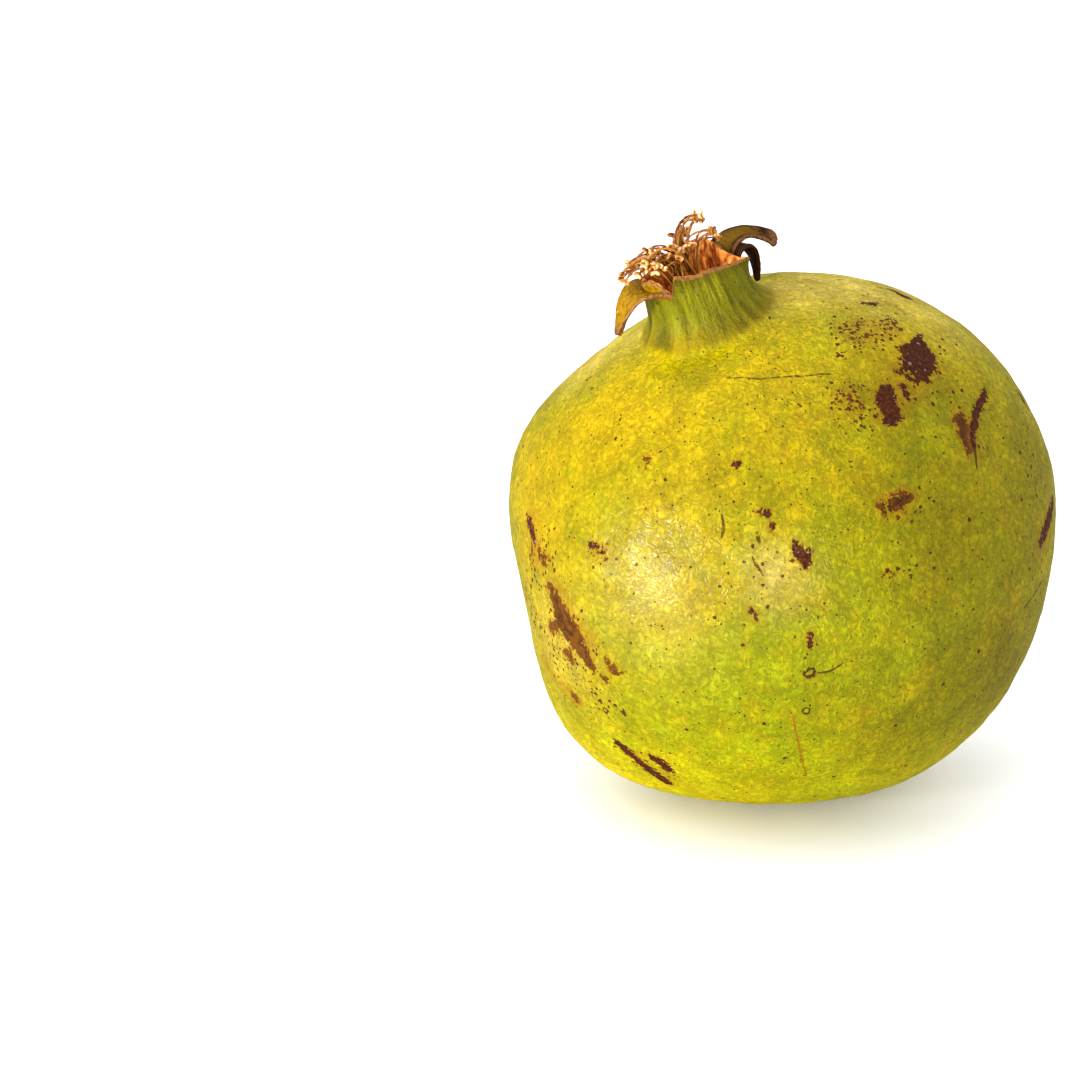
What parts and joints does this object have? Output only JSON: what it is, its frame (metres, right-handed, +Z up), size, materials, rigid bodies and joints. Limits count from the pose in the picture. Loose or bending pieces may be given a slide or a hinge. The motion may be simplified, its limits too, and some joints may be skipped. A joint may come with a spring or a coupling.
{
  "type": "pomegranate",
  "caption": "Whole ripe pomegranate, yellow-green with brown marks, resting with its open crown of curled sepals and dried stamens leaning forward and a short stem stub below",
  "frame": {"origin": "middle of the small flat spot that the fruit rests on", "axes": "+Z up; the crown leans to -X and towards -Y, which is the front"},
  "size_m": [0.0979, 0.0994, 0.1094],
  "materials": {
    "rind": "satin",
    "stamen": "matte",
    "stem": "matte"
  },
  "bodies": {
    "root": {"fruit": "rind", "stamens": "stamen", "stem": "stem"}
  },
  "joints": []
}
